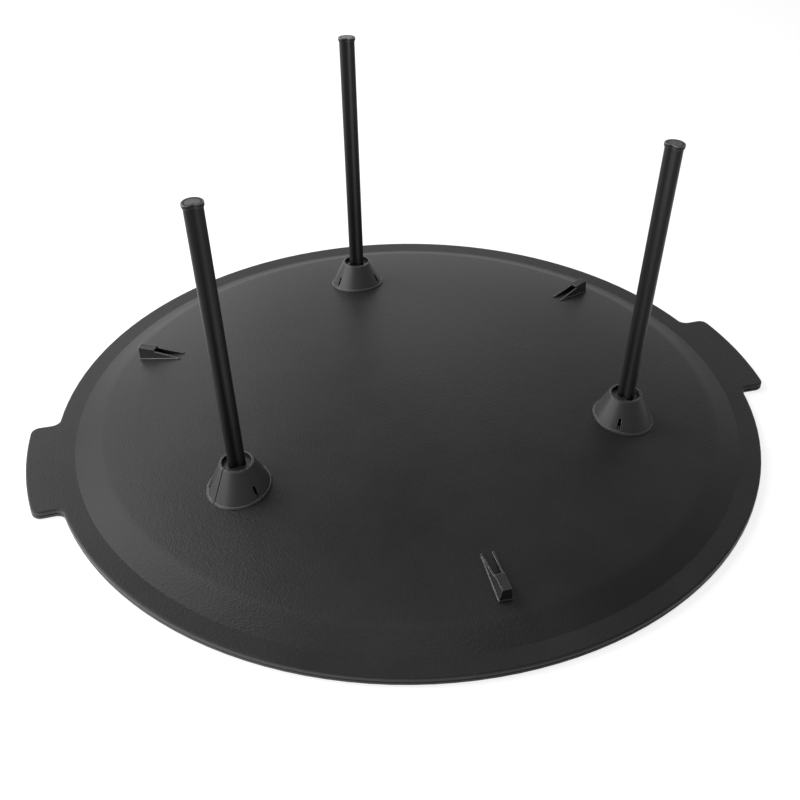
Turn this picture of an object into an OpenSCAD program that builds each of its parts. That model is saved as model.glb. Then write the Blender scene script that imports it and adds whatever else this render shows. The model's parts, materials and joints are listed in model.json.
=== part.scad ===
// Rebound board of a lawn ball game: a round two-skin board with two tab
// handles, standing face down, with its three plug-in legs pointing up.
// Origin: on the floor, under the middle of the board. X runs through the two
// tab handles, Y through the middle of leg socket 1, Z is up. Millimetres.

/* [Board] */
// Diameter of the round board
board_d = 914; // [860:1:960]
// Thickness of the playing panel at the rim
panel_t = 5.5; // [4.5:0.1:7]
// Thickness of the playing panel inside the rim
panel_web = 4; // [3:0.1:4.4]
// Thickness of the shell's flat flange, which lies on the panel
flange_t = 5.5; // [4.5:0.1:7]
// Width of the flat rim, from the edge to the crease
rim_w = 26; // [20:1:32]
// Rounding of the two outer edges of the rim
edge_r = 2.6; // [1.5:0.1:3]
// Bevel on each side of the parting line
parting = 0.8; // [0.3:0.1:1.2]

/* [Shell] */
// Wall of the underside shell
shell_wall = 3.2; // [2.4:0.1:4]
// Width of the sloping band inside the crease
slope_w = 27; // [20:1:36]
// Steepness of the sloping band, in degrees
slope_a = 22; // [18:1:28]
// Radius of the shoulder between the sloping band and the dome
shoulder_r = 60; // [40:5:90]
// Rise of the dome from the shoulder to its middle
dome_rise = 42; // [34:1:50]

/* [Tab handles] */
// Width of a tab handle
tab_w = 172; // [140:1:200]
// How far a tab handle stands out from the rim
tab_out = 34; // [28:1:45]
// Corner radius of a tab handle
tab_corner = 12; // [8:1:16]
// Radius in the two corners between a tab handle and the rim
tab_root = 12; // [8:1:16]

/* [Leg sockets] */
// Distance of a leg's axis from the middle of the board, at the shell
socket_r = 279; // [250:1:300]
// Outer radius of a socket at its foot
socket_foot = 37.5; // [36:0.5:42]
// Outer radius of a socket at its mouth
socket_mouth = 20; // [18.5:0.5:22]
// Height of a socket along its axis
socket_h = 36; // [32:1:42]
// Wall of a socket
socket_wall = 2.4; // [2:0.1:3]
// Outward lean of the legs, in degrees from the vertical
leg_splay = 2.2; // [0:0.1:4]
// Depth of a socket's inner floor below its mouth
floor_drop = 5; // [3:0.5:7]
// Thickness of the two plates inside a socket
plate_t = 2.4; // [2:0.1:3]
// Height of the bead round the foot of a socket
bead_h = 2; // [1.2:0.1:2.6]
// How far the bead stands out
bead_out = 1.2; // [0.6:0.1:1.6]
// Width of the parting line down the outward side of a socket
seam_w = 0.6; // [0.4:0.1:1]
// Depth of the parting line
seam_d = 0.4; // [0.2:0.1:0.8]

/* [Snap fits] */
// Snap slots in each socket
snap_n = 3; // [2:1:4]
// Width of a snap slot at its lower end
slot_w = 4.4; // [3.8:0.1:6]
// Width of a snap slot at its upper end
slot_top_w = 3.4; // [2.8:0.1:4.5]
// Height of a snap slot
slot_h = 13; // [10:0.5:15]
// Height of the wall left under a snap slot
slot_sill = 3.6; // [3:0.1:5]
// Thickness of a snap tongue
tongue_t = 2.2; // [1.6:0.1:2.8]
// Play round a snap tongue
tongue_play = 0.3; // [0.2:0.05:0.5]

/* [Legs] */
// Width of the bean-shaped leg tube
leg_w = 20.5; // [19:0.1:22]
// Depth of the leg tube, square to its width
leg_d = 16.4; // [15:0.1:17.5]
// Radius of the two lobes beside the groove
lobe_r = 5; // [4.4:0.1:5.6]
// Depth of the groove along the leg
groove_d = 1.8; // [1.2:0.1:2]
// Wall of the leg tube
leg_wall = 1.8; // [1.2:0.1:2.4]
// Length of the leg tube
leg_len = 355; // [300:1:400]
// Gap between the leg tube and its socket's bore
leg_fit = 0.4; // [0.35:0.05:0.8]

/* [Foot caps] */
// How far a cap's head stands out beyond the tube
cap_over = 1.2; // [0.8:0.1:1.6]
// Thickness of a cap's head
cap_t = 3.4; // [2.8:0.1:5]
// Rounding of a cap's head
cap_edge = 0.7; // [0.4:0.1:1]
// Thickness of the collar under the head
collar_t = 1; // [0.8:0.1:1.5]
// Height of the fine gap between collar and head
collar_gap = 0.5; // [0.3:0.1:0.8]
// Length of the plug inside the tube
plug_len = 22; // [15:1:30]
// Wall of the plug
plug_wall = 1.6; // [1.2:0.1:2]
// Gap between the plug and the tube
plug_fit = 0.08; // [0.04:0.01:0.1]

/* [Storage hooks] */
// Distance of a hook's pointed end from the middle of the board
hook_r = 320; // [300:1:326]
// Length of a hook, from its points to its outer end
hook_len = 62; // [54:1:66]
// Length of the closed block at a hook's outer end
hook_block = 25; // [20:1:28]
// Height of a hook at its outer end
hook_h = 18; // [15:0.5:22]
// How far a hook's ribs stay below the top of its block
hook_step = 3; // [2:0.5:4]
// Width of a hook at its foot
hook_w = 15.4; // [14:0.2:18]
// Width of a hook at the top of its outer end
hook_top_w = 10.6; // [9.4:0.2:12]
// Thickness of a hook's walls and ribs
hook_wall = 2; // [1.6:0.1:2.4]
// Height of the bead along a hook's foot
hook_bead_h = 1.2; // [0.8:0.1:1.6]
// How far that bead stands out
hook_bead_out = 0.8; // [0.4:0.1:1]

/* [Hidden] */
$fn = 96;

// Directions of the sockets and hooks round the board, and the ways that each
// leg's groove and each socket's first snap slot face, in degrees from +X.
SOCKET_A = [90, 210, 330];
HOOK_A = [30, 150, 270];
GROOVE_A = [254, 271, 216];
SLOT_A = [202, 296, 358];

BLACK = [0.10, 0.10, 0.105];
SATIN = [0.07, 0.07, 0.075];
GLOSS = [0.03, 0.03, 0.033];

seat = 0.08;                      // gap under a part that sits on the shell
over = 1;                         // how far a cutter runs past what it cuts
lap = 0.3;                        // by which a tab's root fillet runs on into the rim
shy = 0.04;                       // by which a tab's faces lie below the rim's
tab_seat = 14;                    // how far a tab's plate runs into the flat rim
edge_steps = 4;                   // facets of a rounded edge in profile

board_r = board_d / 2;
crease_r = board_r - rim_w;
rim_top = panel_t + flange_t;

// The shell leaves the crease as a straight sloping band. The shoulder is an
// arc that runs tangent out of the band and into the large sphere of the dome.
slope_z = rim_top + slope_w * tan(slope_a);
sh_x = crease_r - slope_w - shoulder_r * sin(slope_a);
sh_z = slope_z - shoulder_r * cos(slope_a);
dome_z = slope_z + dome_rise;
dome_r = (pow(sh_x, 2) + pow(dome_z - sh_z, 2) - pow(shoulder_r, 2))
         / (2 * (dome_z - sh_z - shoulder_r));
dome_c = dome_z - dome_r;
join_a = asin(sh_x / (dome_r - shoulder_r));

function surface_z(r) = dome_c + sqrt(dome_r * dome_r - r * r);
function surface_tilt(r) = asin(r / dome_r);
function arc(x, y, r, a0, a1, n, first = 0) =
    [for (i = [first : n]) let (a = a0 + (a1 - a0) * i / n) [x + r * cos(a), y + r * sin(a)]];
function shifted(pts, dx) = [for (p = pts) [p[0] + dx, p[1]]];

// Edge of a slab from z0 up to z1, with its face at x = 0 and both corners
// rounded: radius e0 below and e1 above, in n0 and n1 facets.
function edge_line(z0, z1, e0, n0, e1, n1) =
    concat(arc(-e0, z0 + e0, e0, -90, 0, n0), arc(-e1, z1 - e1, e1, 0, 90, n1));

// Outline of the shell's skin from the crease to the middle, moved inward by d.
function skin(d) = concat(
    [[crease_r - d * sin(slope_a), rim_top - d * cos(slope_a)]],
    arc(sh_x, sh_z, shoulder_r - d, 90 - slope_a, 90 - join_a, 6),
    arc(0, dome_c, dome_r - d, 90 - join_a, 90, 30, 1));

// ---- board -----------------------------------------------------------------

tab_r = board_r + tab_out;
corner_y = tab_w / 2 - tab_corner;
corner_x = sqrt(pow(tab_r - tab_corner, 2) - pow(corner_y, 2));
corner_a = atan2(corner_y, corner_x);
root_y = tab_w / 2 + tab_root - lap;
root_x = sqrt(pow(board_r + tab_root - lap, 2) - pow(root_y, 2));
root_a = atan2(root_y, root_x);

// Half the outline of a tab handle, moved inward by d: outer arc, corner, root
// fillet and the plate's end inside the rim, which has a point under each point
// of the fillet. The whole is this and its mirror.
ARC_N = 6;
CORNER_N = 5;
ROOT_N = 6;
function root(d) = arc(root_x, root_y, tab_root + d, 270, 180 + root_a, ROOT_N);
function inward(p) = p * (board_r - tab_seat) / norm(p);
function tab_half(d) = concat(
    arc(0, 0, tab_r - d, 0, corner_a, ARC_N),
    arc(corner_x, corner_y, tab_corner - d, corner_a, 90, CORNER_N, 1),
    root(d),
    [for (i = [ROOT_N : -1 : 0]) inward(root(0)[i])]);
function tab_outline(d) = let (half = tab_half(d), n = len(half) - 1)
    concat(half, [for (i = [n : -1 : 1]) [half[i][0], -half[i][1]]]);

side_i = ARC_N + CORNER_N + 1;    // first point of the root fillet
last_i = side_i + 2 * ROOT_N + 1; // last point of the half outline
tab_n = 2 * last_i + 1;           // points in the whole outline
function across(i) = (tab_n - i) % tab_n;
function under(i) = side_i + last_i - i;

// Flat face of a tab as strips: from side to side, and inward from each root.
function tab_cap() = concat(
    [[0, 1, across(1)]],
    [for (i = [1 : side_i - 1]) [i, i + 1, across(i + 1), across(i)]],
    [[side_i, last_i, across(last_i), across(side_i)]],
    [for (i = [side_i : side_i + ROOT_N - 1]) [i, i + 1, under(i + 1), under(i)]],
    [for (i = [side_i : side_i + ROOT_N - 1])
        [across(under(i)), across(under(i + 1)), across(i + 1), across(i)]]);
function raised(faces, k) = [for (f = faces) [for (j = [len(f) - 1 : -1 : 0]) f[j] + k]];

// One tab handle, lofted through the same edge as the rim's.
module tab(z0, z1, e0, n0, e1, n1) {
    edge = edge_line(z0 + shy, z1 - shy, e0, n0, e1, n1);
    last = len(edge) - 1;
    polyhedron(
        points = [for (e = edge, p = tab_outline(-e[0])) [p[0], p[1], e[1]]],
        faces = concat(tab_cap(), raised(tab_cap(), last * tab_n),
                       [for (k = [0 : last - 1], i = [0 : tab_n - 1]) let (j = (i + 1) % tab_n)
                           [k * tab_n + j, k * tab_n + i, (k + 1) * tab_n + i,
                            (k + 1) * tab_n + j]]));
}

module both_tabs(z0, z1, e0, n0, e1, n1) {
    for (turn = [0, 180])
        rotate([0, 0, turn])
            tab(z0, z1, e0, n0, e1, n1);
}

module playing_panel() {
    edge = edge_line(0, panel_t, edge_r, edge_steps, parting, 1);
    color(BLACK) {
        rotate_extrude($fn = 360)
            polygon(concat([[0, 0]], shifted(edge, board_r),
                           [[crease_r - rim_w, panel_t], [crease_r - rim_w, panel_web],
                            [0, panel_web]]));
        both_tabs(0, panel_t, edge_r, edge_steps, parting, 1);
    }
}

module underside_shell() {
    edge = edge_line(panel_t, rim_top, parting, 1, edge_r, edge_steps);
    inner = skin(shell_wall);
    inner_foot = inner[0][0] + (inner[0][1] - panel_t) / tan(slope_a);
    color(BLACK) {
        rotate_extrude($fn = 360)
            polygon(concat([[inner_foot, panel_t]], shifted(edge, board_r), skin(0),
                           [for (i = [len(inner) - 1 : -1 : 0]) inner[i]]));
        both_tabs(panel_t, rim_top, parting, 1, edge_r, edge_steps);
        for (i = [0 : len(SOCKET_A) - 1])
            at_shell(socket_r, SOCKET_A[i])
                snap_tongues(i);
    }
}

// Puts its children on the shell: local z is square to the shell, x outward.
module at_shell(r, a) {
    rotate([0, 0, a])
        translate([r, 0, surface_z(r)])
            rotate([0, surface_tilt(r), 0])
                children();
}

// ---- sockets ---------------------------------------------------------------

lean = leg_splay - surface_tilt(socket_r);   // leg axis against the shell's normal
taper = (socket_foot - socket_mouth) / socket_h;
slant_wall = socket_wall * sqrt(1 + taper * taper);
sleeve_r = leg_w / 2 + leg_fit + socket_wall;
floor_z = socket_h - floor_drop;
bore_z = plate_t + sleeve_r * abs(tan(lean));   // top of the foot plate
lip_bevel = 0.5;
below = 2 * socket_foot * abs(tan(lean)) + over;   // drawn below the shell, then trimmed off

function cone_r(z) = socket_foot - taper * z;

// Cone of the socket's outside, moved outward by d, up to the height h.
module cone_solid(d, h) {
    rotate_extrude()
        polygon([[0, -below], [cone_r(-below) + d, -below], [cone_r(h) + d, h], [0, h]]);
}

// Outside of a socket with its mouth lip and the recess down to its inner floor.
module socket_outside() {
    rotate_extrude()
        polygon([[0, -below],
                 [cone_r(-below), -below],
                 [cone_r(socket_h - lip_bevel), socket_h - lip_bevel],
                 [socket_mouth - lip_bevel, socket_h],
                 [cone_r(socket_h) - slant_wall, socket_h],
                 [cone_r(floor_z) - slant_wall, floor_z],
                 [0, floor_z]]);
}

// Hollow under the inner floor, between the wall and the sleeve.
module socket_hollow() {
    top = floor_z - plate_t;
    rotate_extrude()
        polygon([[sleeve_r, -below - over],
                 [cone_r(-below - over) - slant_wall, -below - over],
                 [cone_r(top) - slant_wall, top],
                 [sleeve_r, top]]);
}

module slot_cutter() {
    half = slot_w / 2;
    half_top = slot_top_w / 2;
    translate([cone_r(slot_sill + slot_h) - slant_wall - over, 0, 0])
        rotate([90, 0, 90])
            linear_extrude(taper * slot_h + slant_wall + 2 * over)
                polygon([[-half, slot_sill], [half, slot_sill],
                         [half_top, slot_sill + slot_h], [-half_top, slot_sill + slot_h]]);
}

// Groove of the parting line, along the outward side of the cone.
module seam_cutter() {
    far = bead_out + over;
    translate([0, seam_w / 2, 0])
        rotate([90, 0, 0])
            linear_extrude(seam_w)
                polygon([[cone_r(-below) - seam_d, -below], [cone_r(-below) + far, -below],
                         [cone_r(socket_h) + far, socket_h],
                         [cone_r(socket_h) - seam_d, socket_h]]);
}

// Puts its children at each snap slot of socket i. The foot of a leaning socket
// isn't level, so they slide along the cone to keep their height above it.
module at_slots(i) {
    for (k = [0 : snap_n - 1]) {
        turn = SLOT_A[i] - SOCKET_A[i] + 360 * k / snap_n;
        foot_z = socket_foot * cos(turn) * tan(lean);
        rotate([0, 0, turn])
            translate([-taper * foot_z, 0, foot_z])
                children();
    }
}

module leg_socket(i) {
    color(SATIN)
        at_shell(socket_r, SOCKET_A[i])
            difference() {
                union() {
                    rotate([0, lean, 0])
                        socket_outside();
                    intersection() {
                        rotate([0, lean, 0])
                            cone_solid(bead_out, below + bead_h);
                        translate([0, 0, seat])
                            cylinder(r = 2 * socket_foot, h = bead_h);
                    }
                }
                rotate([0, lean, 0]) {
                    socket_hollow();
                    seam_cutter();
                    at_slots(i)
                        slot_cutter();
                    translate([0, 0, bore_z])
                        rotate([0, 0, GROOVE_A[i] - SOCKET_A[i] + 90])
                            linear_extrude(socket_h)
                                polygon(bean(leg_fit));
                }
                translate([0, 0, seat - socket_foot])
                    cube([4 * socket_foot, 4 * socket_foot, 2 * socket_foot], center = true);
            }
}

// Tongues of the shell that stand inside socket i, each with its barb in a slot.
module snap_tongues(i) {
    barb_z = slot_sill + tongue_play;
    barb_h = 3;
    barb_face = 1;                // height of the barb's upright outer face
    back_r = cone_r(barb_z + barb_h) - slant_wall - tongue_play;
    width = slot_top_w - 2 * tongue_play;
    rotate([0, lean, 0])
        at_slots(i)
            translate([0, width / 2, 0])
                rotate([90, 0, 0])
                    linear_extrude(width)
                        polygon([[back_r - tongue_t, -shell_wall / 2],
                                 [back_r, -shell_wall / 2],
                                 [back_r, barb_z],
                                 [cone_r(barb_z) - tongue_play, barb_z],
                                 [cone_r(barb_z) - tongue_play, barb_z + barb_face],
                                 [back_r, barb_z + barb_h],
                                 [back_r - tongue_t, barb_z + barb_h]]);
}

// ---- legs ------------------------------------------------------------------

// Outline of the bean section, moved outward by d. Two lobes, a round back and
// a groove are arcs that run tangent into each other. The groove faces -Y.
lobe_x = leg_w / 2 - lobe_r;
back_y = (pow(leg_d - 2 * lobe_r, 2) - pow(lobe_x, 2)) / (2 * (leg_d - 2 * lobe_r));
back_r = leg_d - lobe_r - back_y;
groove_r = (pow(groove_d, 2) + pow(lobe_x, 2)) / (2 * groove_d) - lobe_r;
groove_y = groove_r + lobe_r - groove_d;
back_a = atan2(-back_y, lobe_x);
groove_a = atan2(groove_y, lobe_x);

function bean(d) = concat(
    arc(lobe_x, 0, lobe_r + d, groove_a - 180, back_a, 8),
    arc(0, back_y, back_r + d, back_a, 180 - back_a, 16),
    arc(-lobe_x, 0, lobe_r + d, 180 - back_a, 360 - groove_a, 8),
    arc(0, -groove_y, groove_r - d, 180 - groove_a, groove_a, 4));

leg_rest = bore_z + leg_fit;      // lower end of the tube, above the foot plate

// Puts its children on the axis of leg i, with the groove turned its way.
module on_leg(i) {
    at_shell(socket_r, SOCKET_A[i])
        rotate([0, lean, 0])
            rotate([0, 0, GROOVE_A[i] - SOCKET_A[i] + 90])
                children();
}

module leg_tube(i) {
    color(GLOSS)
        on_leg(i)
            translate([0, 0, leg_rest])
                linear_extrude(leg_len)
                    difference() {
                        polygon(bean(0));
                        polygon(bean(-leg_wall));
                    }
}

module slab(z, h, d) {
    translate([0, 0, z])
        linear_extrude(h)
            polygon(bean(d));
}

module foot_cap(i) {
    head_z = collar_t + collar_gap;
    gate_r = 0.9;                 // mark of the mould's gate on the head
    gate_out = 0.2;
    color(SATIN)
        on_leg(i)
            translate([0, 0, leg_rest + leg_len]) {
                difference() {
                    union() {
                        slab(-plug_len, plug_len + collar_t / 2, -leg_wall - plug_fit);
                        slab(0, collar_t, cap_over / 2);
                        slab(collar_t / 2, head_z, -cap_over / 2);
                        slab(head_z, cap_t - cap_edge, cap_over);
                        for (k = [1 : edge_steps])
                            slab(head_z + cap_edge, cap_t - cap_edge * (2 - sin(90 * k / edge_steps)),
                                 cap_over - cap_edge * (1 - cos(90 * k / edge_steps)));
                    }
                    slab(-plug_len - over, plug_len + over, -leg_wall - plug_fit - plug_wall);
                }
                translate([0, back_y / 2, head_z + cap_t - over])
                    cylinder(r = gate_r, h = over + gate_out);
            }
}

// ---- storage hooks ---------------------------------------------------------

hook_mid = hook_r + hook_len / 2; // where a hook's base plane touches the shell
rib_x = hook_len - hook_block;

// Top of a hook's block above its base plane. It is level once the hook stands
// on the shell, which falls away outward.
function hook_top(x) = hook_h - (hook_len - x) * tan(surface_tilt(hook_mid));
function hook_half(z) = hook_w / 2 - (hook_w - hook_top_w) / 2 * z / hook_h;

// What a side view cuts out between a hook's two drafted sides, moved in by inset.
module hook_slice(side, inset) {
    top = hook_h + over;
    intersection() {
        translate([-over, 0, 0])
            rotate([90, 0, 90])
                linear_extrude(hook_len + 2 * over)
                    polygon([[inset - hook_half(-over), -over], [hook_half(-over) - inset, -over],
                             [hook_half(top) - inset, top], [inset - hook_half(top), top]]);
        translate([0, hook_w, 0])
            rotate([90, 0, 0])
                linear_extrude(2 * hook_w)
                    polygon(side);
    }
}

// Two ribs rise from their points to a hollow block that is open inward.
module storage_hook(i) {
    end_draft = 1.5;
    point_h = 0.6;                // the points end in a small blunt edge
    end_x = hook_len - end_draft;
    hollow_x = end_x - hook_wall;
    bead_x = hook_len + hook_bead_out;
    color(BLACK)
        at_shell(hook_mid, HOOK_A[i])
            translate([-hook_len / 2, 0, seat])
                difference() {
                    union() {
                        hook_slice([[0, 0], [hook_len, 0], [end_x, hook_top(end_x)],
                                    [rib_x, hook_top(rib_x)],
                                    [rib_x, hook_top(rib_x) - hook_step], [0, point_h]], 0);
                        hook_slice([[0, 0], [bead_x, 0], [bead_x, hook_bead_h],
                                    [0, hook_bead_h]], -hook_bead_out);
                    }
                    hook_slice([[-over, -over], [rib_x, -over], [rib_x, hook_h], [-over, hook_h]],
                               hook_wall);
                    hook_slice([[-over, -over], [hollow_x, -over],
                                [hollow_x, hook_top(hollow_x) - hook_wall],
                                [rib_x - over, hook_top(rib_x - over) - hook_wall],
                                [-over, hook_top(rib_x - over) - hook_wall]], hook_wall);
                }
}

playing_panel();
underside_shell();
leg_socket(0);  // leg_socket_1
leg_socket(1);  // leg_socket_2
leg_socket(2);  // leg_socket_3
leg_tube(0);  // leg_tube_1
leg_tube(1);  // leg_tube_2
leg_tube(2);  // leg_tube_3
foot_cap(0);  // foot_cap_1
foot_cap(1);  // foot_cap_2
foot_cap(2);  // foot_cap_3
storage_hook(0);  // storage_hook_1
storage_hook(1);  // storage_hook_2
storage_hook(2);  // storage_hook_3
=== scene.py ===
"""Looks of the round rebound board: plastics with painted highlights, sheen and shade, a painted
shade line and gate marks on the caps, studio and camera.
"""
import json
import math

import bmesh
import bpy
from mathutils import Matrix, Vector


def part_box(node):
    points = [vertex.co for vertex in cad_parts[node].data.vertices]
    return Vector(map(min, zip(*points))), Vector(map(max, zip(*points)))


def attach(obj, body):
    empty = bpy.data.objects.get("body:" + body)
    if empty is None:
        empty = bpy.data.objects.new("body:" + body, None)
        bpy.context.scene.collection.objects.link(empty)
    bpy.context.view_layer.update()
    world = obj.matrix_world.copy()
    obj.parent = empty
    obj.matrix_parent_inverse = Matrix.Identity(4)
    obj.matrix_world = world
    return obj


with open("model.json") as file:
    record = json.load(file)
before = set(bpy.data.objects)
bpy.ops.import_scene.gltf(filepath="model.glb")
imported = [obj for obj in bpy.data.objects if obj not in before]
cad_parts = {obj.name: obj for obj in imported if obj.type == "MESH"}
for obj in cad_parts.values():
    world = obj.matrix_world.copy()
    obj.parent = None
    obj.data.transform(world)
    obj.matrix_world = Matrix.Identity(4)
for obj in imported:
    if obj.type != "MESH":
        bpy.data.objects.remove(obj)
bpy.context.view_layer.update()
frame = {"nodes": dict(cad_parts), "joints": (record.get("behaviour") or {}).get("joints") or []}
NODES = frame["nodes"]
JOINTS = {joint["name"]: joint for joint in frame["joints"]}
LEGS = (1, 2, 3)
MM = 0.001


def leg_axis(number):
    """The way along which a leg is pulled out of its socket."""
    return Vector(JOINTS["leg_%d_pull" % number]["axis"]).normalized()


def outward_at(number):
    """The level direction from the board's middle to a socket, which its leg leans along."""
    axis = leg_axis(number)
    return Vector((axis.x, axis.y, 0)).normalized()


# ---- camera ----------------------------------------------------------------

IMAGE = 800.0                    # pixels along each side of the picture
FOCAL_PX = 1069.8                # focal length in those pixels
SENSOR = 36.0                    # the sensor's width in millimetres
DISTANCE = 1.435                 # camera to the middle of the board
ELEVATION = 36.88
AZIMUTH = 15.6                   # turn of the board against the camera
ROLL = -0.22
CENTRE_PX = (407.5, 411.9)       # where the middle of the board shows


def polar(radius, azimuth, elevation):
    """A point round the board, with azimuth 0 on the camera's side and 90 to its right."""
    a = math.radians(azimuth - AZIMUTH)
    e = math.radians(elevation)
    level = radius * math.cos(e)
    return Vector((level * math.sin(a), -level * math.cos(a), radius * math.sin(e)))


def make_camera():
    data = bpy.data.cameras.new("camera")
    camera = bpy.data.objects.new("camera", data)
    bpy.context.scene.collection.objects.link(camera)
    place = polar(DISTANCE, 0, ELEVATION)
    back = place.normalized()
    right = Vector((0, 0, 1)).cross(back).normalized()
    up = back.cross(right)
    roll = math.radians(ROLL)
    turned_right = right * math.cos(roll) + up * math.sin(roll)
    turned_up = up * math.cos(roll) - right * math.sin(roll)
    camera.matrix_world = Matrix((
        (turned_right.x, turned_up.x, back.x, place.x),
        (turned_right.y, turned_up.y, back.y, place.y),
        (turned_right.z, turned_up.z, back.z, place.z),
        (0, 0, 0, 1)))
    data.sensor_width = SENSOR
    data.lens = FOCAL_PX * SENSOR / IMAGE
    data.shift_x = -(CENTRE_PX[0] - IMAGE / 2) / IMAGE
    data.shift_y = (CENTRE_PX[1] - IMAGE / 2) / IMAGE
    bpy.context.scene.camera = camera


# ---- shader nodes ------------------------------------------------------------

def feed(tree, socket, value):
    """Link another node's output to the socket, or set it to a plain value."""
    if isinstance(value, bpy.types.NodeSocket):
        tree.links.new(value, socket)
    else:
        socket.default_value = value


def calculate(tree, operation, *values, clamp=False):
    node = tree.nodes.new("ShaderNodeMath")
    node.operation = operation
    node.use_clamp = clamp
    for socket, value in zip(node.inputs, values):
        feed(tree, socket, value)
    return node.outputs[0]


def vector_math(tree, operation, first, second):
    node = tree.nodes.new("ShaderNodeVectorMath")
    node.operation = operation
    feed(tree, node.inputs[0], first)
    feed(tree, node.inputs[1], second)
    return node.outputs["Value" if operation == "DOT_PRODUCT" else "Vector"]


def map_range(tree, value, low, high, to_low=0.0, to_high=1.0):
    """Run from to_low, where the value is low, to to_high, where it is high."""
    node = tree.nodes.new("ShaderNodeMapRange")
    node.inputs["From Min"].default_value = low
    node.inputs["From Max"].default_value = high
    node.inputs["To Min"].default_value = to_low
    node.inputs["To Max"].default_value = to_high
    tree.links.new(value, node.inputs["Value"])
    return node.outputs[0]


def mix_colours(tree, share, first, second):
    """The first colour where share is 0 and the second where it is 1."""
    node = tree.nodes.new("ShaderNodeMix")
    node.data_type = "RGBA"
    tree.links.new(share, node.inputs[0])
    for place, colour in ((6, first), (7, second)):
        if isinstance(colour, tuple):
            colour = (*colour, 1)
        feed(tree, node.inputs[place], colour)
    return node.outputs[2]


def noise(tree, where, scale, detail, roughness=0.5):
    node = tree.nodes.new("ShaderNodeTexNoise")
    node.inputs["Scale"].default_value = scale
    node.inputs["Detail"].default_value = detail
    node.inputs["Roughness"].default_value = roughness
    tree.links.new(where, node.inputs["Vector"])
    return node.outputs[0]


# ---- studio ----------------------------------------------------------------

DIM = 0.05               # strength of the world where it lights a surface
WHITE = 1.0              # strength where it is seen, or mirrored
FLOOR_R = 3.4            # past all that the camera sees of the floor
FLOOR_SIDES = 96
FLOOR_DROP = 0.2 * MM    # keeps the floor out of the playing face's plane
FLOOR_CLOTH = 0.8        # grey of the floor where it throws light back at the board
FLOOR_SHADE = 0.30       # grey of the seen floor, which the lamps and shadows act on
FLOOR_GLOW = 0.80        # what is added to it, in the picture and in reflections only


def seen_directly(tree):
    """1 for camera, glossy and transmission rays, and 0 for the others."""
    path = tree.nodes.new("ShaderNodeLightPath").outputs
    mirrored = calculate(tree, "ADD", path["Is Camera Ray"], path["Is Glossy Ray"], clamp=True)
    return calculate(tree, "ADD", mirrored, path["Is Transmission Ray"], clamp=True)


def mix_by_ray(tree, lighting, seen, out):
    """One shader for the rays that carry light to a surface, another for what is seen."""
    mix = tree.nodes.new("ShaderNodeMixShader")
    tree.links.new(seen_directly(tree), mix.inputs["Fac"])
    tree.links.new(lighting.outputs[0], mix.inputs[1])
    tree.links.new(seen.outputs[0], mix.inputs[2])
    tree.links.new(mix.outputs[0], out.inputs["Surface"])


def make_world():
    world = bpy.data.worlds.new("studio")
    bpy.context.scene.world = world
    world.use_nodes = True
    tree = world.node_tree
    tree.nodes.clear()
    out = tree.nodes.new("ShaderNodeOutputWorld")
    plain = tree.nodes.new("ShaderNodeBackground")
    white = tree.nodes.new("ShaderNodeBackground")
    for background, strength in ((plain, DIM), (white, WHITE)):
        background.inputs["Color"].default_value = (1, 1, 1, 1)
        background.inputs["Strength"].default_value = strength
    mix_by_ray(tree, plain, white, out)


def floor_material():
    material = bpy.data.materials.new("floor")
    material.use_nodes = True
    tree = material.node_tree
    tree.nodes.clear()
    out = tree.nodes.new("ShaderNodeOutputMaterial")
    cloth = tree.nodes.new("ShaderNodeBsdfDiffuse")
    shade = tree.nodes.new("ShaderNodeBsdfDiffuse")
    glow = tree.nodes.new("ShaderNodeEmission")
    both = tree.nodes.new("ShaderNodeAddShader")
    cloth.inputs["Color"].default_value = (FLOOR_CLOTH, FLOOR_CLOTH, FLOOR_CLOTH, 1)
    shade.inputs["Color"].default_value = (FLOOR_SHADE, FLOOR_SHADE, FLOOR_SHADE, 1)
    glow.inputs["Strength"].default_value = FLOOR_GLOW
    tree.links.new(shade.outputs[0], both.inputs[0])
    tree.links.new(glow.outputs[0], both.inputs[1])
    mix_by_ray(tree, cloth, both, out)
    return material


def make_floor():
    mesh = bpy.data.meshes.new("floor")
    bm = bmesh.new()
    bmesh.ops.create_circle(bm, cap_ends=True, segments=FLOOR_SIDES, radius=FLOOR_R)
    bm.to_mesh(mesh)
    bm.free()
    floor = bpy.data.objects.new("floor", mesh)
    floor.location.z = -FLOOR_DROP
    bpy.context.scene.collection.objects.link(floor)
    mesh.materials.append(floor_material())


def area_lamp(name, place, size, power):
    """A round lamp of so many metres and watts that faces the board's middle."""
    data = bpy.data.lights.new(name, "AREA")
    data.shape = "DISK"
    data.size = size
    data.energy = power
    lamp = bpy.data.objects.new(name, data)
    lamp.location = place
    lamp.rotation_mode = "QUATERNION"
    lamp.rotation_quaternion = place.to_track_quat("Z", "Y")
    bpy.context.scene.collection.objects.link(lamp)


def make_lamps():
    """Light from the left and the back, which leaves the board's right side darker."""
    area_lamp("key_back_left", polar(3.0, 240, 36), 1.4, 31)
    area_lamp("high_back_left", polar(3.0, 210, 36), 1.4, 9)
    area_lamp("high_back", polar(3.0, 178, 31), 1.2, 6)
    area_lamp("high_left", polar(3.0, 254, 53), 1.2, 40)
    area_lamp("top", polar(3.0, 10, 85), 1.4, 24)
    area_lamp("low_front_left", polar(1.8, 306, 15), 1.0, 14)
    area_lamp("low_left", polar(1.8, 272, 16), 1.3, 24)
    area_lamp("low_back_left", polar(3.0, 210, 14), 1.4, 6)


# ---- plastics --------------------------------------------------------------

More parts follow.
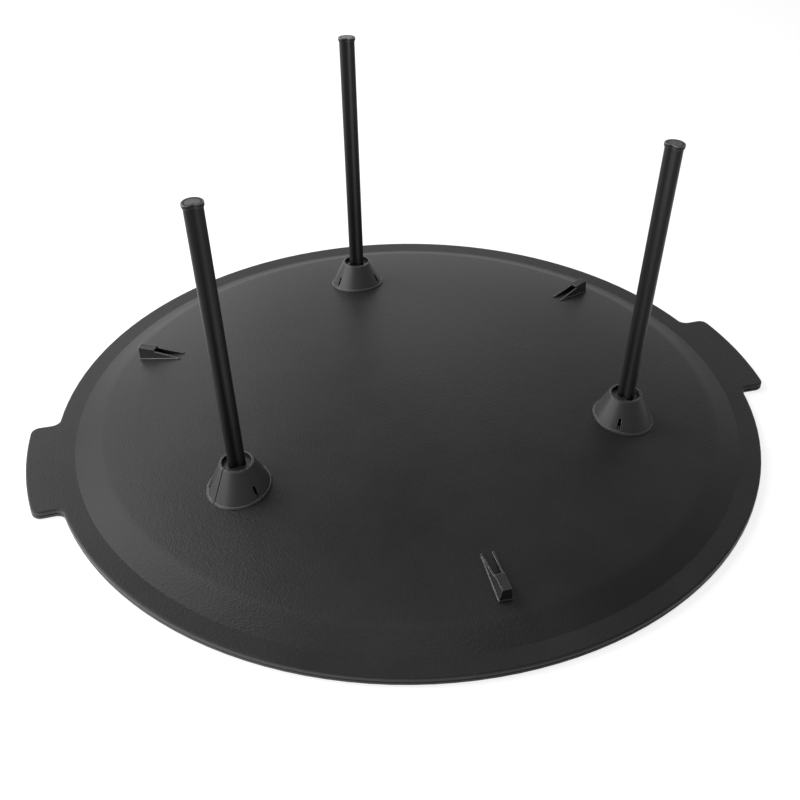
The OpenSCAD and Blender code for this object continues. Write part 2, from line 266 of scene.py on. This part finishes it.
CLOUD_SCALE = 9.0                # soft clouds of colour and gloss, about 0.1 m apart
CLOUD_DETAIL = 5.0
CLOUD_ROUGHNESS = 0.6
FINE_SCALE = 1.6                 # fine noise, against the size of the pebbles
FINE_DETAIL = 3.0
FINE_SHARE = 0.35                # share of the fine noise in the colour
RAMP_DARK = 0.32                 # places of the two colours on the noise
RAMP_LIGHT = 0.70
BEVEL_SAMPLES = 6

HIGHLIGHT_EDGE_START = 0.985                # cosine of the turn at which the painted edge highlight starts
HIGHLIGHT_EDGE_FULL = 0.80
SPECKLE_LOW = 0.30               # range of the fine noise that thins the painted edge highlight out
SPECKLE_HIGH = 0.60
SPECKLE_LEAST = 0.55             # share of the painted edge highlight that is left where it is thinnest
# Greys of the painted highlight along edges, thinned unevenly by the fine noise
EDGE_HIGHLIGHT_GREY = (0.30, 0.30, 0.305)
HOOK_EDGE_HIGHLIGHT_GREY = (0.42, 0.42, 0.43)

STANDING_FROM = 0.85             # height of the normal at which a face starts to stand
STANDING_FULL = 0.30
# Paler grey of the board's upright faces, a painted sheen on the rim's sides
BOARD_UPRIGHT_SHEEN = (0.072, 0.072, 0.074)
SEAM_HALF = 0.6 * MM             # half the width of the parting line's painted shade, which the edge highlight keeps clear of
# Black of the painted shade in the parting line's groove
SEAM_PAINTED_SHADE = (0.001, 0.001, 0.001)


def off_seam(tree, where, point, normal, outward):
    """0 within SEAM_HALF of the plane through point, on its outward side, and 1 elsewhere."""
    from_point = vector_math(tree, "SUBTRACT", where, point)
    across = vector_math(tree, "DOT_PRODUCT", from_point, normal)
    along = vector_math(tree, "DOT_PRODUCT", from_point, outward)
    beside = calculate(tree, "GREATER_THAN", calculate(tree, "ABSOLUTE", across), SEAM_HALF)
    inward = calculate(tree, "LESS_THAN", along, 0.0)
    return calculate(tree, "MAXIMUM", beside, inward)


def paint_upright_sheen(tree, colour, upright_sheen):
    """Paint a sheen: mix the colour upright_sheen in on faces whose normal lies near the
    horizontal.
    """
    own = tree.nodes.new("ShaderNodeNewGeometry")
    apart = tree.nodes.new("ShaderNodeSeparateXYZ")
    tree.links.new(own.outputs["Normal"], apart.inputs[0])
    height = calculate(tree, "ABSOLUTE", apart.outputs["Z"])
    upright = map_range(tree, height, STANDING_FROM, STANDING_FULL)
    return mix_colours(tree, upright, colour, upright_sheen)


def paint_edge_highlight(tree, colour, rounded, speckle, edge_highlight, kept):
    """Paint a highlight along edges: mix a paler colour in where the rounded normal leaves the
    face's own normal.
    """
    own = tree.nodes.new("ShaderNodeNewGeometry").outputs["Normal"]
    agree = vector_math(tree, "DOT_PRODUCT", rounded, own)
    highlit = map_range(tree, agree, HIGHLIGHT_EDGE_START, HIGHLIGHT_EDGE_FULL)
    uneven = map_range(tree, speckle, SPECKLE_LOW, SPECKLE_HIGH, SPECKLE_LEAST)
    share = calculate(tree, "MULTIPLY", highlit, uneven)
    if kept is not None:
        share = calculate(tree, "MULTIPLY", share, kept)
    return mix_colours(tree, share, colour, edge_highlight)


def cloudy_colour(tree, clouds, fine, dark, light):
    slow = calculate(tree, "MULTIPLY", clouds, 1.0 - FINE_SHARE)
    both = calculate(tree, "MULTIPLY_ADD", fine, FINE_SHARE, slow)
    ramp = tree.nodes.new("ShaderNodeValToRGB")
    ends = ramp.color_ramp.elements
    for end, place, colour in zip(ends, (RAMP_DARK, RAMP_LIGHT), (dark, light)):
        end.position = place
        end.color = (*colour, 1)
    tree.links.new(both, ramp.inputs[0])
    return ramp.outputs[0]


def rounded_normal(tree, radius):
    soft = tree.nodes.new("ShaderNodeBevel")
    soft.samples = BEVEL_SAMPLES
    soft.inputs["Radius"].default_value = radius
    return soft.outputs[0]


def pebble_bump(tree, where, fine, size, depth, rounded):
    pebble = tree.nodes.new("ShaderNodeTexVoronoi")
    pebble.inputs["Scale"].default_value = 1.0 / size
    tree.links.new(where, pebble.inputs["Vector"])
    bump = tree.nodes.new("ShaderNodeBump")
    bump.inputs["Strength"].default_value = 1.0
    bump.inputs["Distance"].default_value = depth
    height = calculate(tree, "ADD", pebble.outputs["Distance"], fine)
    tree.links.new(height, bump.inputs["Height"])
    if rounded is not None:
        tree.links.new(rounded, bump.inputs["Normal"])
    return bump.outputs[0]


def plastic(name, dark, light, rough, gloss, grain_size, grain_depth, patch=0.12,
            along_z=1.0, edge=0.0, edge_highlight=None, seam=None, upright_sheen=None):
    """Moulded black plastic. Colours run from dark to light with a soft cloudy
    pattern; the grain is a fine pebble, with its size, its depth and the radius
    of the edges in millimetres; patch moves the roughness; along_z below 1 draws
    the pattern out upwards. Where edge_highlight is given, a highlight of that
    grey is painted along the edges. Along a seam, given as a point on its plane,
    its normal and its outward side, painted shade takes its place: black, with no
    gloss. Faces that stand upright take the colour upright_sheen, a painted sheen."""
    material = bpy.data.materials.new(name)
    material.use_nodes = True
    tree = material.node_tree
    shader = tree.nodes["Principled BSDF"].inputs
    where = tree.nodes.new("ShaderNodeTexCoord").outputs["Object"]
    stretch = tree.nodes.new("ShaderNodeMapping")
    stretch.inputs["Scale"].default_value = (1, 1, along_z)
    tree.links.new(where, stretch.inputs["Vector"])
    stretched = stretch.outputs[0]
    clouds = noise(tree, stretched, CLOUD_SCALE, CLOUD_DETAIL, CLOUD_ROUGHNESS)
    fine = noise(tree, stretched, FINE_SCALE / (grain_size * MM), FINE_DETAIL)
    rounded = rounded_normal(tree, edge * MM) if edge > 0 else None

    colour = cloudy_colour(tree, clouds, fine, dark, light)
    # Painted sheen on the faces that stand upright.
    if upright_sheen is not None:
        colour = paint_upright_sheen(tree, colour, upright_sheen)
    kept = off_seam(tree, where, *seam) if seam is not None else None
    # Painted highlight along the edges.
    if edge_highlight is not None:
        colour = paint_edge_highlight(tree, colour, rounded, fine, edge_highlight, kept)
    level = gloss
    # Painted shade along the parting line: black colour and no gloss.
    if kept is not None:
        colour = mix_colours(tree, kept, SEAM_PAINTED_SHADE, colour)
        level = calculate(tree, "MULTIPLY", kept, gloss)

    spread = map_range(tree, clouds, 0.0, 1.0, rough - patch / 2, rough + patch / 2)
    bump = pebble_bump(tree, stretched, fine, grain_size * MM, grain_depth * MM, rounded)
    feed(tree, shader["Base Color"], colour)
    feed(tree, shader["Specular IOR Level"], level)
    feed(tree, shader["Roughness"], spread)
    feed(tree, shader["Normal"], bump)
    return material


def board_plastic():
    return plastic("board_plastic", dark=(0.011, 0.011, 0.0115), light=(0.0195, 0.0195, 0.0203),
                   rough=0.38, gloss=0.08, grain_size=2.8, grain_depth=0.20, edge=0.8,
                   upright_sheen=BOARD_UPRIGHT_SHEEN)


def tube_plastic():
    return plastic("tube_plastic", dark=(0.009, 0.009, 0.0094), light=(0.018, 0.018, 0.0187),
                   rough=0.40, gloss=0.18, grain_size=1.4, grain_depth=0.006, patch=0.08,
                   along_z=0.03)


def cap_plastic():
    return plastic("cap_plastic", dark=(0.009, 0.009, 0.0095), light=(0.018, 0.018, 0.019),
                   rough=0.36, gloss=0.20, grain_size=0.7, grain_depth=0.015, edge=0.4,
                   edge_highlight=EDGE_HIGHLIGHT_GREY)


def hook_plastic():
    return plastic("hook_plastic", dark=(0.012, 0.012, 0.0124), light=(0.021, 0.021, 0.0217),
                   rough=0.36, gloss=0.10, grain_size=0.8, grain_depth=0.02, edge=0.65,
                   edge_highlight=HOOK_EDGE_HIGHLIGHT_GREY)


def socket_plastic(number):
    """The socket's plastic, with a painted edge highlight that keeps off the parting line on its
    outward side.
    """
    low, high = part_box("leg_socket_%d" % number)
    middle = (low + high) / 2
    outward = outward_at(number)
    point = outward * middle.dot(outward)
    return plastic("socket_plastic_%d" % number, dark=(0.012, 0.012, 0.0125),
                   light=(0.022, 0.022, 0.0228), rough=0.42, gloss=0.24, grain_size=0.8,
                   grain_depth=0.02, edge=0.6, edge_highlight=EDGE_HIGHLIGHT_GREY,
                   seam=(point, (-outward.y, outward.x, 0), outward))


# Very dark plastic for the painted shade line inside the caps' borders and the disc round their
# gate marks.
def shade_line_and_gate_plastic():
    return plastic("shade_line_and_gate_plastic", dark=(0.003, 0.003, 0.0031), light=(0.006, 0.006, 0.0062),
                   rough=0.45, gloss=0.02, grain_size=0.5, grain_depth=0.01)


def dress_nodes():
    """Give each CAD node its plastic, by the start of its name."""
    board = board_plastic()
    material_of = {"playing": board, "underside": board, "leg_tube": tube_plastic(),
                   "foot_cap": cap_plastic(), "storage_hook": hook_plastic()}
    for number in LEGS:
        material_of["leg_socket_%d" % number] = socket_plastic(number)
    for name, node in NODES.items():
        material = next(m for start, m in material_of.items() if name.startswith(start))
        node.data.materials.clear()
        node.data.materials.append(material)


# ---- painted shade line and gate marks on the foot caps ----------------------

FACING = 0.999           # cosine above which a face counts as square to the axis
FLUSH = 0.02 * MM        # heights are sorted into steps of this, and a step is one flat
DIGITS = 7               # points that agree to so many decimals of a metre are one
SUNK = 0.05 * MM         # how far a mark reaches down into its cap
SHADE_LINE_HIGH = 0.03 * MM
SHADE_LINE_OUTER = 0.86        # the painted shade line's two sides, as shares of the cap's flat
SHADE_LINE_INNER = 0.75
GATE_R = 1.0 * MM        # dark disc round the gate mark of the cap
GATE_TOP_R = 0.7 * MM
GATE_HIGH = 0.12 * MM
GATE_SHOULDER = GATE_HIGH / 3
GATE_SIDES = 24


def loops_of(edges):
    """Closed loops of points, from edges that meet two at each point."""
    next_to = {}
    for a, b in edges:
        next_to.setdefault(a, []).append(b)
        next_to.setdefault(b, []).append(a)
    loops = []
    while next_to:
        start = min(next_to)
        loop = [start]
        before = None
        here = start
        while True:
            onward = [p for p in next_to.pop(here) if p != before and (p in next_to or p == start)]
            before = here
            here = onward[0] if onward else start
            if here == start:
                break
            loop.append(here)
        loops.append([Vector(p) for p in loop])
    return loops


def flat_outline(node, axis):
    """The longest closed edge of the node's widest flat that faces along the axis."""
    turn = node.matrix_world.to_3x3()
    world = [node.matrix_world @ v.co for v in node.data.vertices]
    levels = {}
    for face in node.data.polygons:
        if (turn @ face.normal).dot(axis) > FACING:
            level = round(world[face.vertices[0]].dot(axis) / FLUSH)
            levels.setdefault(level, []).append(face)
    widest = max(levels.values(), key=lambda faces: sum(f.area for f in faces))
    times_seen = {}
    for face in widest:
        for a, b in face.edge_keys:
            ends = [tuple(round(c, DIGITS) for c in world[end]) for end in (a, b)]
            edge = tuple(sorted(ends))
            times_seen[edge] = times_seen.get(edge, 0) + 1
    loops = loops_of(edge for edge, times in times_seen.items() if times == 1)
    return max(loops, key=lambda loop: sum((p - q).length for p, q in zip(loop, loop[1:])))


def solid_of_loops(name, loops, closed, material):
    """A closed solid from loops of equal length; closed joins the last to the first."""
    mesh = bpy.data.meshes.new(name)
    bm = bmesh.new()
    rows = [[bm.verts.new(p) for p in loop] for loop in loops]
    count = len(loops[0])
    pairs = list(zip(rows, rows[1:]))
    if closed:
        pairs.append((rows[-1], rows[0]))
    else:
        bm.faces.new(rows[0])
        bm.faces.new(rows[-1])
    for one, other in pairs:
        for i in range(count):
            j = (i + 1) % count
            bm.faces.new((one[i], one[j], other[j], other[i]))
    bmesh.ops.recalc_face_normals(bm, faces=bm.faces)
    bm.to_mesh(mesh)
    bm.free()
    piece = bpy.data.objects.new(name, mesh)
    bpy.context.scene.collection.objects.link(piece)
    mesh.materials.append(material)
    return piece


def mark_cap(number, material):
    """A dark line inside the cap's border, which is painted shade, and a dark disc round its gate
    mark.
    """
    axis = leg_axis(number)
    outline = flat_outline(NODES["foot_cap_%d" % number], axis)
    middle = sum(outline, Vector()) / len(outline)
    across = axis.orthogonal().normalized()
    along = axis.cross(across)

    def ring(share, height):
        return [middle + (p - middle) * share + axis * height for p in outline]

    def circle(radius, height):
        steps = [2 * math.pi * k / GATE_SIDES for k in range(GATE_SIDES)]
        return [middle + axis * height + (across * math.cos(t) + along * math.sin(t)) * radius
                for t in steps]

    # Painted shade: a dark ring just inside the cap's border.
    line = solid_of_loops("cap_shade_line_%d" % number,
                          [ring(SHADE_LINE_OUTER, -SUNK), ring(SHADE_LINE_OUTER, SHADE_LINE_HIGH),
                           ring(SHADE_LINE_INNER, SHADE_LINE_HIGH), ring(SHADE_LINE_INNER, -SUNK)],
                          True, material)
    gate = solid_of_loops("cap_gate_%d" % number,
                          [circle(GATE_R, -SUNK), circle(GATE_R, GATE_SHOULDER),
                           circle(GATE_TOP_R, GATE_HIGH)],
                          False, material)
    for piece in (line, gate):
        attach(piece, "leg_%d" % number)


def mark_caps():
    material = shade_line_and_gate_plastic()
    for number in LEGS:
        mark_cap(number, material)


mark_caps()
make_camera()
make_world()
make_floor()
make_lamps()
dress_nodes()

bpy.context.scene.view_settings.view_transform = "Standard"
